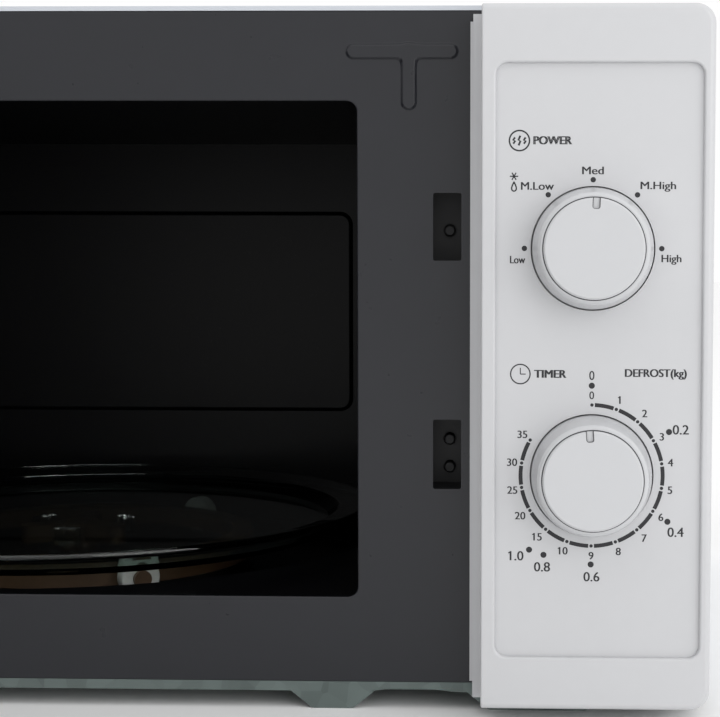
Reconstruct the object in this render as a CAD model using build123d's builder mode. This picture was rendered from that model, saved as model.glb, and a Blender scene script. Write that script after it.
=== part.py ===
from build123d import *
import os
from math import cos, radians, sin

# Countertop microwave oven with a mechanical control panel and a door hung on its left side.
# Millimetres. +X is to the right seen from the front, +Y runs to the back, +Z is up. The origin is
# the centre of the cabinet's footprint, on the surface that the oven stands on. Each door piece is
# drawn with the door shut, then turned open about the hinge line.

# Cabinet
case_width = 440.0
case_height = 258.0
case_depth = 318.0
sheet = 0.8
side_x = case_width / 2
front_y = -case_depth / 2
rear_y = case_depth / 2
plate_x = side_x - 1.1
plate_bottom = 10.3
plate_top = 256.0
plate_back = front_y + sheet
flange_depth = 12.0
base_bottom = 6.5
base_sheet = 1.0

# Cavity and turntable
opening_z = (41.8, 223.8)
cavity_x = (-191.6, 93.6)
cavity_back_y = front_y + 298.0
turn_x = (cavity_x[0] + cavity_x[1]) / 2
turn_y = front_y + 148.5
track_z = 25.0
well_radius = 139.5
glass_radius = 132.5
glass_bottom = 42.0
glass_top = 45.6
lip_top = 53.5
roller_radius = 8.3
roller_width = 7.4
roller_centre_z = track_z + 8.5
roller_path_radius = 85.0
axle_radius = 2.0
roller_angles = (-59.0, 61.0, 181.0)
boss_top = 28.0
shaft_radius = 3.0

# Control panel
panel_front = front_y - 26.0
panel_x = (139.7, side_x + 0.9)
panel_z = (7.3, 255.6)
recess_x = (144.8, 217.0)
recess_z = (26.2, 235.1)
recess_depth = 2.0
knob_x = 178.7
power_z = 170.7
timer_z = 90.8
knob_radius = 21.3
knob_face_radius = 17.4
knob_front = panel_front + recess_depth - 15.9
well_floor = panel_front + recess_depth + 5.0
running_gap = 0.05

# Door, shut
hinge_x = -211.0
hinge_y = -172.0
door_open_angle = 90.0
door_x = (-219.5, 138.9)
door_z = (7.5, 254.0)
door_back = -163.0
window_x = (-150.0, 70.0)
window_z = (58.0, 208.0)
pan_x = (-200.0, 118.0)
pan_z = (22.0, 243.0)
latch_slot_x = (121.4, 131.7)
upper_slot_z = (166.0, 190.6)
lower_slot_z = (82.2, 107.8)
hook_x = (124.3, 128.8)
hook_tip = -140.0
upper_ear_z = 246.0
lower_ear_z = 14.0
ear_thickness = 1.6
hinge_pin_radius = 3.0

# Switches behind the latch slots
switch_size = (27.8, 15.9, 10.3)
switch_front = -134.0
plunger_radius = 2.0
plunger_heights = {"primary": 177.0, "secondary": 87.7, "monitor": 98.3}

# Machine compartment, right of the cavity
fan_x = 164.0
fan_z = 164.0
antenna_y = 45.0
antenna_z = 165.0
cord_hole = (190.0, 45.0)
screw_places = ((-205, 30), (-205, 235), (0, 245), (205, 235), (205, 120), (60, 22))

hinge_line = Axis((hinge_x, hinge_y, 0), (0, 0, 1))
turn_line = Axis((turn_x, turn_y, 0), (0, 0, 1))
turn_section = Plane(origin=(turn_x, turn_y, 0), x_dir=(1, 0, 0), z_dir=(0, -1, 0))


def middle(span):
    return (span[0] + span[1]) / 2


def width(span):
    return span[1] - span[0]


def facing_front(y):
    """Plane at depth y, seen from the front: its x is +X and its y is +Z."""
    return Plane.XZ.offset(-y)


def block(x, y, z, mode=Mode.ADD):
    """Block between its limits along X, Y and Z."""
    with Locations((middle(x), middle(y), middle(z))):
        Box(width(x), width(y), width(z), mode=mode)


def pane(x, z, y, radius=0.0, mode=Mode.ADD):
    """Rectangle seen from the front, with rounded corners, between two depths."""
    with BuildSketch(facing_front(y[0])) as outline:
        with Locations((middle(x), middle(z))):
            if radius:
                RectangleRounded(width(x), width(z), radius)
            else:
                Rectangle(width(x), width(z))
    extrude(outline.sketch, amount=-width(y), mode=mode)


def square_left_pane(x, z, y, radius):
    """Rectangle between two depths, square at its left corners and rounded at its right ones."""
    with BuildSketch(facing_front(y[0])) as outline:
        with Locations((middle(x), middle(z))):
            Rectangle(width(x), width(z))
        fillet(outline.vertices().group_by(Axis.X)[-1], radius)
    extrude(outline.sketch, amount=-width(y))


def rod(centre, radius, y, mode=Mode.ADD):
    """Cylinder along Y between two depths, centred on an X and a Z."""
    with BuildSketch(facing_front(y[0])) as disc:
        with Locations(centre):
            Circle(radius)
    extrude(disc.sketch, amount=-width(y), mode=mode)


def post(centre, radius, z, mode=Mode.ADD):
    """Upright cylinder between two heights, centred on an X and a Y."""
    with BuildSketch(Plane.XY.offset(z[0])) as disc:
        with Locations(centre):
            Circle(radius)
    extrude(disc.sketch, amount=width(z), mode=mode)


def holes_in_side(x, centre, pitch, count, radius):
    """Rows of round holes through a side wall that starts at x."""
    with BuildSketch(Plane.YZ.offset(x)) as dots:
        with Locations(centre):
            with GridLocations(pitch, pitch, *count):
                Circle(radius)
    extrude(dots.sketch, amount=2 * sheet, both=True, mode=Mode.SUBTRACT)


def keep(piece, name, on_door=False):
    """Label a finished piece and write it, turned open where it is on the door."""
    shape = piece.part
    if on_door:
        shape = shape.rotate(hinge_line, -door_open_angle)
    shape.label = name
    export_step(shape, f"parts/{name}.step")


# Cabinet and cavity


def make_front_plate():
    rib_width = 3.2
    rib_bar = (90.9, 129.2)
    rib_bar_z = 241.6
    rib_stem = (221.7, 243.2)
    rib_stem_x = 112.6
    with BuildPart() as front_plate:
        pane((-plate_x, plate_x), (plate_bottom, plate_top), (front_y, plate_back), 7.0)
        behind = (plate_back, plate_back + flange_depth)
        block((-210, 210), behind, (plate_top - sheet, plate_top))
        block((-210, 210), behind, (plate_bottom, plate_bottom + sheet))
        block((-plate_x, -plate_x + sheet), behind, (20, 243))
        block((plate_x - sheet, plate_x), behind, (20, 243))
        pane(cavity_x, opening_z, (front_y, plate_back), 4.0, Mode.SUBTRACT)
        rim = front_plate.edges().filter_by_position(Axis.Y, front_y - 0.01, front_y + 0.01)
        rim = rim.filter_by_position(Axis.X, cavity_x[0] - 0.1, cavity_x[1] + 0.1)
        fillet(rim.filter_by_position(Axis.Z, opening_z[0] - 0.1, opening_z[1] + 0.1), 0.6)
        pane((146, 212), (30, 232), (front_y, plate_back), 6.0, Mode.SUBTRACT)
        for slot_z in (upper_slot_z, lower_slot_z):
            pane(latch_slot_x, slot_z, (front_y, plate_back), 0.8, Mode.SUBTRACT)
        for ear_z in (upper_ear_z, lower_ear_z):
            slit = (ear_z - 0.4, ear_z + ear_thickness + 0.4)
            pane((hinge_x - 7, hinge_x + 7), slit, (front_y, plate_back), 0.0, Mode.SUBTRACT)
        with BuildSketch(facing_front(front_y)):
            with Locations((middle(rib_bar), rib_bar_z)):
                SlotOverall(width(rib_bar), rib_width)
            with Locations((rib_stem_x, middle(rib_stem))):
                SlotOverall(width(rib_stem), rib_width, rotation=90)
        extrude(amount=0.6, taper=35)
    keep(front_plate, "front_plate")


def make_cavity_wrap():
    wall_z = (36.0, opening_z[1] + sheet)
    wall_y = (plate_back, cavity_back_y - 0.1)
    left = (cavity_x[0] - sheet, cavity_x[0])
    right = (cavity_x[1], cavity_x[1] + sheet)
    with BuildPart() as cavity_wrap:
        block(left, wall_y, wall_z)
        block(right, wall_y, wall_z)
        block((left[0], right[1]), wall_y, (opening_z[1], wall_z[1]))
        block(right, (-30, 40), (140, 190), Mode.SUBTRACT)
        holes_in_side(right[0], (-100, 202), 5.0, (5, 4), 1.6)
        holes_in_side(right[0], (-61, 165), 5.0, (5, 8), 1.6)
        holes_in_side(left[0], (85, 196), 5.0, (12, 6), 1.6)
    keep(cavity_wrap, "cavity_wrap")


def make_cavity_back():
    pad_x = (-159.3, 61.3)
    pad_z = (80.5, 187.9)
    pad_height = 1.5
    pad_corner = 7.0
    pad_draft = 50
    with BuildPart() as cavity_back:
        outer_x = (cavity_x[0] - sheet, cavity_x[1] + sheet)
        pane(outer_x, (36.0, opening_z[1] + sheet), (cavity_back_y, cavity_back_y + sheet))
        with BuildSketch(facing_front(cavity_back_y)):
            with Locations((middle(pad_x), middle(pad_z))):
                RectangleRounded(width(pad_x), width(pad_z), pad_corner)
        extrude(amount=pad_height, taper=pad_draft)
        fillet(cavity_back.faces().sort_by(Axis.Y)[0].edges(), 1.2)
        with BuildSketch(facing_front(cavity_back_y + sheet)):
            with Locations((middle(pad_x), middle(pad_z))):
                RectangleRounded(width(pad_x), width(pad_z), pad_corner)
        extrude(amount=pad_height, taper=pad_draft, mode=Mode.SUBTRACT)
    keep(cavity_back, "cavity_back")


def make_cavity_floor():
    floor_z = opening_z[0]
    floor_x = (cavity_x[0] + 0.1, cavity_x[1] - 0.1)
    floor_y = (plate_back + 0.1, cavity_back_y - 0.1)
    with BuildPart() as cavity_floor:
        block(floor_x, floor_y, (floor_z - sheet, floor_z))
        block(floor_x, (floor_y[0], floor_y[0] + sheet), (36, floor_z - sheet))
        post((turn_x, turn_y), well_radius, (floor_z - 2, floor_z + 1), Mode.SUBTRACT)
        with BuildSketch(turn_section):
            with BuildLine():
                Polyline(
                    (well_radius + 0.4, floor_z),
                    (well_radius - 1.5, floor_z - 0.6),
                    (131.5, track_z + 1.2),
                    (129.0, track_z),
                    (34.0, track_z),
                    (30.5, boss_top),
                    (6.0, boss_top),
                    (6.0, boss_top - sheet),
                    (30.0, boss_top - sheet),
                    (33.5, track_z - sheet),
                    (129.4, track_z - sheet),
                    (132.3, track_z + 0.7),
                    (well_radius + 0.4, floor_z - sheet - 0.6),
                    close=True,
                )
            make_face()
        revolve(axis=turn_line)
    keep(cavity_floor, "cavity_floor")


def make_base_plate():
    lip_y = (front_y + 0.1, front_y + 1.1)
    foot_long = 30.0
    outer_feet = ((-174, -146), (142, 178))
    middle_foot = (76.6, 91.6)
    rear_feet_y = 124.0
    lip_top = 10.1
    arch = ((98, base_bottom), (113.5, 7.8), (129, base_bottom))
    foot_slope = 8.0
    sheet_x = 217.9
    base_back = 157.4
    feet = [(lip_y[0], flat) for flat in (*outer_feet, middle_foot)]
    feet += [(rear_feet_y, flat) for flat in outer_feet]
    with BuildPart() as base_plate:
        block((-sheet_x, sheet_x), (lip_y[0], base_back), (base_bottom, base_bottom + base_sheet))
        for x in (-1, 1):
            edge = sorted((x * sheet_x, x * (sheet_x - base_sheet)))
            block(edge, (-140, base_back), (base_bottom, 20))
        # Front lip: straight, arched between the middle and the right foot.
        with BuildSketch(facing_front(lip_y[0])):
            with BuildLine():
                Line((-sheet_x, base_bottom), arch[0])
                ThreePointArc(*arch)
                Line(arch[2], (sheet_x, base_bottom))
                Line((sheet_x, base_bottom), (sheet_x, lip_top))
                Line((sheet_x, lip_top), (-sheet_x, lip_top))
                Line((-sheet_x, lip_top), (-sheet_x, base_bottom))
            make_face()
        extrude(amount=-width(lip_y))
        with BuildSketch(facing_front(lip_y[0] - 1)):
            with BuildLine():
                ThreePointArc(*arch)
                Line(arch[2], arch[0])
            make_face()
        extrude(amount=-4, mode=Mode.SUBTRACT)
        # Feet pressed down from the sheet, hollow from above.
        for y, flat in feet:
            for inset, mode in ((0.0, Mode.ADD), (base_sheet, Mode.SUBTRACT)):
                top = base_bottom + inset
                with BuildSketch(facing_front(y + inset)) as section:
                    with BuildLine():
                        Polyline(
                            (flat[0] - foot_slope + inset, top),
                            (flat[0] + inset / 2, inset),
                            (flat[1] - inset / 2, inset),
                            (flat[1] + foot_slope - inset, top),
                            close=True,
                        )
                    make_face()
                    if not inset:
                        fillet(section.vertices().group_by(Axis.Y)[0], 3.0)
                extrude(amount=-(foot_long - 2 * inset), mode=mode)
        post((turn_x, turn_y), 30.0, (0, 10), Mode.SUBTRACT)
        with Locations((turn_x, 90, base_bottom), (turn_x, -110, base_bottom)):
            with GridLocations(14, 12, 8, 3):
                Cylinder(2.0, 6.0, mode=Mode.SUBTRACT)
    keep(base_plate, "base_plate")


def make_outer_cabinet():
    wrap_z = (7.6, case_height)
    wrap_y = (front_y + 0.2, rear_y)
    corner = 8.0
    with BuildPart() as outer_cabinet:
        with BuildSketch(facing_front(wrap_y[0])) as bend:
            with Locations((0, middle(wrap_z))):
                Rectangle(case_width, width(wrap_z))
            fillet(bend.vertices().group_by(Axis.Y)[-1], corner)
        extrude(amount=-width(wrap_y))
        with BuildSketch(facing_front(wrap_y[0])) as hollow:
            with Locations((0, middle(wrap_z) - sheet)):
                Rectangle(case_width - 2 * sheet, width(wrap_z))
            fillet(hollow.vertices().group_by(Axis.Y)[-1], corner - sheet)
        extrude(amount=-width(wrap_y), mode=Mode.SUBTRACT)
        block((-206, 206), (wrap_y[0], wrap_y[0] + 8), (256.3, case_height - sheet))
        for side, rows in ((-1, 2), (1, 3)):
            with BuildSketch(Plane.YZ.offset(side * side_x)):
                with Locations((92, 150)):
                    with GridLocations(8, 42, 12, rows):
                        SlotOverall(32, 3.2, rotation=90)
            extrude(amount=2, both=True, mode=Mode.SUBTRACT)
    keep(outer_cabinet, "outer_cabinet")


def make_rear_plate():
    plate_y = (157.5, 157.5 + sheet)
    with BuildPart() as rear_plate:
        pane((-plate_x, plate_x), (8.6, 256.8), plate_y, 6.5)
        rod(cord_hole, 10.5, plate_y, Mode.SUBTRACT)
        for place in screw_places:
            rod(place, 1.8, plate_y, Mode.SUBTRACT)
        with BuildSketch(facing_front(plate_y[0])):
            with Locations((fan_x, fan_z)):
                with GridLocations(8, 40, 10, 2):
                    SlotOverall(32, 3.6, rotation=90)
            with Locations((-120, 150)):
                with GridLocations(10, 46, 8, 2):
                    SlotOverall(34, 3.6, rotation=90)
        extrude(amount=-sheet, mode=Mode.SUBTRACT)
    keep(rear_plate, "rear_plate")


def make_cabinet_screws():
    with BuildPart() as cabinet_screws:
        for place in screw_places:
            rod(place, 1.75, (148, 158.3))
            with BuildSketch(facing_front(158.3)) as head:
                with Locations(place):
                    Circle(3.8)
            extrude(head.sketch, amount=-2.2, taper=20)
            with BuildSketch(facing_front(160.5)) as drive:
                with Locations(place):
                    Rectangle(4.4, 0.9)
                    Rectangle(0.9, 4.4)
            extrude(drive.sketch, amount=1.2, mode=Mode.SUBTRACT)
    keep(cabinet_screws, "cabinet_screws")


def make_cord_gland():
    with BuildPart() as cord_gland:
        rod(cord_hole, 10.4, (154, 161))
        rod(cord_hole, 13.0, (158.4, 161))
        rod(cord_hole, 13.0, (154.5, 157.4))
        fillet(cord_gland.edges().group_by(Axis.Y)[-1], 0.8)
        rod(cord_hole, 4.0, (150, 165), Mode.SUBTRACT)
    keep(cord_gland, "cord_gland")


# Control panel and knobs


def make_control_panel():
    wall = 2.5
    recess_floor = panel_front + recess_depth
    corner = 7.0
    with BuildPart() as control_panel:
        square_left_pane(panel_x, panel_z, (panel_front, -167.0), corner)
        fillet(control_panel.faces().sort_by(Axis.Y)[0].edges().sort_by(Axis.X)[1:], 2.2)
        left_edge = control_panel.faces().sort_by(Axis.Y)[0].edges().sort_by(Axis.X)[0]
        fillet(left_edge, 0.8)
        square_left_pane((136.2, side_x), (6.8, 253.9), (-167.0, -161.3), corner)
        square_left_pane((135.0, side_x), (11.4, 251.9), (-161.3, front_y - 0.1), corner)
        pane(recess_x, recess_z, (panel_front - 1, recess_floor), 4.3, Mode.SUBTRACT)
        fillet(control_panel.edges().filter_by_position(Axis.Y, panel_front - 0.01, panel_front + 0.01)
               .filter_by_position(Axis.X, recess_x[0] - 0.1, recess_x[1] + 0.1), 0.9)
        inside_x = (panel_x[0] + wall, side_x - wall)
        inside_z = (17.0, 249.0)
        pane(inside_x, inside_z, (recess_floor + wall, front_y - 0.1), 3.0, Mode.SUBTRACT)
        for knob_z in (power_z, timer_z):
            rod((knob_x, knob_z), 24.5, (recess_floor + wall, well_floor + wall))
            rod((knob_x, knob_z), 21.8, (panel_front - 1, well_floor), Mode.SUBTRACT)
            rod((knob_x, knob_z), 4.2, (panel_front, -150), Mode.SUBTRACT)
    keep(control_panel, "control_panel")


def make_knob(name, height, turned):
    """Conical knob with a raised face and a short pointer groove, turned clockwise by an angle."""
    groove_width = 2.7
    groove_length = 3.8
    base = well_floor - 0.6
    shoulder = knob_front + 1.4
    with BuildPart() as knob:
        with BuildSketch(Plane(origin=(knob_x, 0, height), x_dir=(1, 0, 0), z_dir=(0, 0, 1))):
            with BuildLine():
                Polyline(
                    (0, base),
                    (knob_radius, base),
                    (knob_radius, panel_front + 1.2),
                    (knob_radius - 0.5, panel_front - 4.5),
                    (knob_radius - 2.0, shoulder + 1.0),
                    (knob_radius - 3.0, shoulder),
                    (knob_face_radius + 0.4, shoulder),
                    (knob_face_radius + 0.4, shoulder + 1.4),
                    (knob_face_radius, shoulder + 1.4),
                    (knob_face_radius, knob_front + 0.5),
                    (knob_face_radius - 0.6, knob_front),
                    (0, knob_front),
                    close=True,
                )
            make_face()
        revolve(axis=Axis((knob_x, 0, height), (0, 1, 0)))
        # Pointer groove, open at the rim of the raised face.
        angle = radians(turned)
        groove = (knob_face_radius - groove_length, knob_face_radius + 1.4)
        across = middle(groove)
        with BuildSketch(facing_front(knob_front - 1)):
            with Locations((knob_x + across * sin(angle), height + across * cos(angle))):
                RectangleRounded(groove_width, width(groove), 0.9, rotation=-turned)
        extrude(amount=-2.1, mode=Mode.SUBTRACT)
        rod((knob_x, height), shaft_radius, (base - 12, base + 1), Mode.SUBTRACT)
    keep(knob, name)


def make_spindle(name, height):
    with BuildPart() as spindle:
        rod((knob_x, height), shaft_radius, (well_floor - 0.6 - 12, -150))
    keep(spindle, name)


def make_timer_unit():
    with BuildPart() as timer_unit:
        pane((knob_x - 24, knob_x + 24), (timer_z - 24, timer_z + 24), (-170, -134), 4.0)
        rod((knob_x - 8, timer_z - 6), 17.0, (-134, -126))
        for corner in ((-27, 0), (27, 0)):
            pane((knob_x + corner[0] - 4, knob_x + corner[0] + 4), (timer_z - 5, timer_z + 5), (-160, -158))
        rod((knob_x, timer_z), shaft_radius + running_gap, (-171, -149), Mode.SUBTRACT)
        with Locations((knob_x + 18, -130, timer_z + 12), (knob_x + 18, -130, timer_z)):
            Box(6, 8, 1.0)
    keep(timer_unit, "timer_unit")


def make_power_selector():
    with BuildPart() as power_selector:
        pane((knob_x - 20, knob_x + 20), (power_z - 20, power_z + 20), (-170, -142), 3.0)
        rod((knob_x, power_z), 14.0, (-142, -130))
        rod((knob_x, power_z), shaft_radius + running_gap, (-171, -149), Mode.SUBTRACT)
        with Locations((knob_x - 14, -138, power_z + 15), (knob_x + 14, -138, power_z + 15)):
            Box(6, 8, 1.0)
    keep(power_selector, "power_selector")


# Turntable and its drive


def make_turntable_glass():
    lug_angles = (30, 150, 270)
    with BuildPart() as turntable_glass:
        with BuildSketch(turn_section):
            with BuildLine():
                Line((0, glass_bottom), (115.5, glass_bottom))
                Line((115.5, glass_bottom), (119.5, 47.2))
                Line((119.5, 47.2), (131.0, lip_top - 3.2))
                ThreePointArc((131.0, lip_top - 3.2), (glass_radius, lip_top - 1.4), (131.0, lip_top))
                Line((131.0, lip_top), (118.0, 50.8))
                Line((118.0, 50.8), (113.5, glass_top))
                Line((113.5, glass_top), (0, glass_top))
                Line((0, glass_top), (0, glass_bottom))
            make_face()
        revolve(axis=turn_line)
        with BuildSketch(Plane.XY.offset(glass_bottom)):
            with Locations((turn_x, turn_y)):
                with PolarLocations(22.0, 3, start_angle=lug_angles[0]):
                    RectangleRounded(6.0, 12.0, 2.5)
        extrude(amount=-7.0)
    keep(turntable_glass, "turntable_glass")


def make_turntable_coupler():
    top = glass_bottom - 0.2
    with BuildPart() as turntable_coupler:
        post((turn_x, turn_y), 9.0, (boss_top + 1.0, top))
        with BuildSketch(Plane.XY.offset(top - 8)):
            with Locations((turn_x, turn_y)):
                with PolarLocations(14.0, 3, start_angle=90):
                    RectangleRounded(24.0, 9.0, 3.0)
        extrude(amount=8)
        post((turn_x, turn_y), shaft_radius, (0, 35), Mode.SUBTRACT)
    keep(turntable_coupler, "turntable_coupler")


def make_motor_shaft():
    with BuildPart() as motor_shaft:
        post((turn_x, turn_y), shaft_radius, (13, 35))
    keep(motor_shaft, "motor_shaft")


def make_turntable_motor():
    bottom = 10.0
    top = boss_top - sheet
    with BuildPart() as turntable_motor:
        post((turn_x, turn_y), 24.0, (bottom, top))
        fillet(turntable_motor.edges().group_by(Axis.Z)[0], 1.0)
        with Locations((turn_x, turn_y - 27, 23.6 - 0.6), (turn_x, turn_y + 27, 23.6 - 0.6)):
            Box(10, 12, 1.0)
        block((turn_x + 20, turn_x + 32), (turn_y - 8, turn_y + 8), (12, 20))
        post((turn_x, turn_y), shaft_radius + running_gap, (12, 40), Mode.SUBTRACT)
    keep(turntable_motor, "turntable_motor")


def make_motor_cover():
    z = (base_bottom - sheet, base_bottom)
    with BuildPart() as motor_cover:
        with BuildSketch(Plane.XY.offset(z[0])):
            with Locations((turn_x, turn_y)):
                RectangleRounded(82, 82, 6)
        extrude(amount=width(z))
        post((turn_x, turn_y), 18.0, (z[0] - 2.0, z[0]))
        with Locations((turn_x, turn_y, z[0])):
            with PolarLocations(12, 6):
                Cylinder(1.5, 8, mode=Mode.SUBTRACT)
    keep(motor_cover, "motor_cover")


def make_roller_ring():
    """Flat ring with three outward stub axles, each ended by a small cap."""
    ring_z = (29.5, 37.5)
    ring_radii = (69.0, 79.0)
    axle_start = ring_radii[1] - 1.0
    cap_start = roller_path_radius + roller_width / 2 + 0.5
    with BuildPart() as roller_ring:
        with BuildSketch(Plane.XY.offset(ring_z[0])):
            with Locations((turn_x, turn_y)):
                Circle(ring_radii[1])
                Circle(ring_radii[0], mode=Mode.SUBTRACT)
        extrude(amount=width(ring_z))
        chamfer(roller_ring.edges().group_by(Axis.Z)[-1], 1.0)
        for angle in roller_angles:
            out = Plane(
                origin=(turn_x, turn_y, roller_centre_z),
                x_dir=(0, 0, 1),
                z_dir=(cos(radians(angle)), sin(radians(angle)), 0),
            )
            with BuildSketch(out.offset(axle_start)):
                Circle(axle_radius)
            extrude(amount=cap_start - axle_start)
            with BuildSketch(out.offset(cap_start)):
                Circle(3.7)
            extrude(amount=2.0)
    keep(roller_ring, "roller_ring")


def make_roller_wheel(number, angle):
    out = Plane(
        origin=(turn_x, turn_y, roller_centre_z),
        x_dir=(0, 0, 1),
        z_dir=(cos(radians(angle)), sin(radians(angle)), 0),
    )
    with BuildPart() as roller_wheel:
        with BuildSketch(out.offset(roller_path_radius - roller_width / 2)):
            Circle(roller_radius)
        extrude(amount=roller_width)
        fillet(roller_wheel.edges().filter_by(GeomType.CIRCLE), 1.4)
        with BuildSketch(out.offset(roller_path_radius)):
            Circle(axle_radius + running_gap)
        extrude(amount=roller_width, both=True, mode=Mode.SUBTRACT)
    keep(roller_wheel, f"roller_wheel_{number}")


# Latch board and switches


def make_latch_board():
    x = (111.0, 141.0)
    with BuildPart() as latch_board:
        block(x, (plate_back + 0.1, switch_front), (72, 204))
        block((118.5, 134.5), (plate_back, switch_front - 2), (110, 164), Mode.SUBTRACT)
        for slot_z in (upper_slot_z, lower_slot_z):
            mouth = (slot_z[0] - 0.6, slot_z[1] + 0.6)
            block((119.5, 133.5), (plate_back, switch_front - 2), mouth, Mode.SUBTRACT)
        for height in plunger_heights.values():
            rod((middle(hook_x), height), plunger_radius + 0.5, (-140, switch_front), Mode.SUBTRACT)
        fillet(latch_board.edges().filter_by(Axis.Y).group_by(Axis.Z)[-1], 2.0)
    keep(latch_board, "latch_board")


def make_switch(name, height):
    """Snap switch lying behind the latch board, with its plunger bore facing forwards."""
    across, deep, tall = switch_size
    x = middle(hook_x)
    with BuildPart() as switch:
        block((x - across / 2, x + across / 2), (switch_front, switch_front + deep),
              (height - tall / 2, height + tall / 2))
        rod((x, height), plunger_radius + running_gap, (switch_front, switch_front + 8), Mode.SUBTRACT)
        with Locations((x - 10, switch_front + deep + 3, height), (x, switch_front + deep + 3, height),
                       (x + 10, switch_front + deep + 3, height)):
            Box(0.8, 6, 6)
    keep(switch, f"{name}_switch")


def make_plunger(name, height):
    with BuildPart() as plunger:
        rod((middle(hook_x), height), plunger_radius, (-139.4, switch_front + 6))
        fillet(plunger.edges().group_by(Axis.Y)[0], 0.6)
    keep(plunger, f"{name}_plunger")


# Microwave source and cooling


def make_waveguide():
    x = (cavity_x[1] + sheet + 0.1, 130.0)
    y = (-40.0, 66.0)
    z = (125.0, 205.0)
    with BuildPart() as waveguide:
        block(x, y, z)
        block((x[0], x[1] - 1), (y[0] + 1, y[1] - 1), (z[0] + 1, z[1] - 1), Mode.SUBTRACT)
        with BuildSketch(Plane.YZ.offset(x[1] - 1)):
            with Locations((antenna_y, antenna_z)):
                Circle(11)
        extrude(amount=1, mode=Mode.SUBTRACT)
    keep(waveguide, "waveguide")


def make_waveguide_cover():
    with BuildPart() as waveguide_cover:
        block((cavity_x[1] - 0.6, cavity_x[1] - 0.1), (-38, 48), (134, 196))
        fillet(waveguide_cover.edges().filter_by(Axis.X), 5)
    keep(waveguide_cover, "waveguide_cover")


def make_magnetron_body():
    """Frame with a stack of cooling fins and a filter box below."""
    x = (130.1, 196.0)
    y = (10.0, 80.0)
    z = (125.0, 205.0)
    with BuildPart() as magnetron_body:
        block(x, y, z)
        block((x[0] + 4, x[1] - 4), y, (z[0] + 4, z[1] - 4), Mode.SUBTRACT)
        for step in range(8):
            fin = x[0] + 9 + step * 7
            block((fin, fin + 0.8), y, (z[0] + 4, z[1] - 4))
        with BuildSketch(Plane.YZ.offset(x[0] + 4)):
            with Locations((antenna_y, antenna_z)):
                Circle(19)
        extrude(amount=width(x) - 8)
        block((x[0] + 8, x[1] - 8), (y[0] + 6, y[1] - 6), (z[0] - 22, z[0]))
    keep(magnetron_body, "magnetron_body")


def make_magnetron_antenna():
    with BuildPart() as magnetron_antenna:
        with BuildSketch(Plane.YZ.offset(106)):
            with Locations((antenna_y, antenna_z)):
                Circle(9)
        extrude(amount=24)
        fillet(magnetron_antenna.edges().group_by(Axis.X)[0], 4)
    keep(magnetron_antenna, "magnetron_antenna")


def make_transformer_core():
    with BuildPart() as transformer_core:
        block((114, 206), (-90, -40), (9, 77))
        block((130, 146), (-90, -40), (20, 66), Mode.SUBTRACT)
        block((174, 190), (-90, -40), (20, 66), Mode.SUBTRACT)
        block((108, 212), (-86, -44), (base_bottom + base_sheet, 9))
    keep(transformer_core, "transformer_core")


def make_transformer_windings():
    with BuildPart() as transformer_windings:
        for z in ((20.5, 41), (45, 65.5)):
            with BuildSketch(Plane.XY.offset(z[0])) as coil:
                with Locations((160, -65)):
                    RectangleRounded(59, 78, 12)
                    Rectangle(28.6, 50.6, mode=Mode.SUBTRACT)
            extrude(coil.sketch, amount=width(z))
    keep(transformer_windings, "transformer_windings")


def make_capacitor():
    with BuildPart() as capacitor:
        with BuildSketch(Plane.XY.offset(base_bottom + base_sheet + 1)):
            with Locations((165, 30)):
                SlotOverall(52, 32)
        extrude(amount=70)
        fillet(capacitor.edges().group_by(Axis.Z)[-1], 1.5)
        with Locations((156, 30, 84), (174, 30, 84)):
            Box(6, 1.0, 14)
    keep(capacitor, "capacitor")


def make_capacitor_clamp():
    with BuildPart() as capacitor_clamp:
        with BuildSketch(Plane.XY.offset(30)):
            with Locations((165, 30)):
                SlotOverall(54, 34)
                SlotOverall(52.02, 32.02, mode=Mode.SUBTRACT)
        extrude(amount=12)
        block((163, 167), (47, 48), (base_bottom + base_sheet, 42))
        block((159, 171), (47, 60), (base_bottom + base_sheet, 8.5))
    keep(capacitor_clamp, "capacitor_clamp")


def make_high_voltage_diode():
    with BuildPart() as high_voltage_diode:
        rod((200, 60), 3.4, (20, 40))
        rod((200, 60), 0.6, (12, 48))
    keep(high_voltage_diode, "high_voltage_diode")


def make_fan_shroud():
    with BuildPart() as fan_shroud:
        pane((112, 215), (113, 216), (118, 120), 6.0)
        rod((fan_x, fan_z), 49.0, (104, 118))
        rod((fan_x, fan_z), 47.0, (100, 125), Mode.SUBTRACT)
        for x in (-1, 1):
            arm = sorted((fan_x + x * 22, fan_x + x * 50))
            block(arm, (118, 120), (fan_z - 4, fan_z + 4))
    keep(fan_shroud, "fan_shroud")


def make_fan_motor():
    with BuildPart() as fan_motor:
        block((fan_x - 30, fan_x + 30), (121, 139), (fan_z - 26, fan_z + 26))
        block((fan_x - 12, fan_x + 12), (121, 139), (fan_z - 26, fan_z + 26), Mode.SUBTRACT)
        rod((fan_x, fan_z), 14, (121, 139))
        block((fan_x - 30, fan_x + 30), (121, 139), (fan_z - 26, fan_z - 16))
        for x in (-1, 1):
            foot = sorted((fan_x + x * 26, fan_x + x * 36))
            block(foot, (120, 121), (fan_z - 4, fan_z + 4))
        rod((fan_x, fan_z), 2.0 + running_gap, (110, 136), Mode.SUBTRACT)
    keep(fan_motor, "fan_motor")


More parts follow.
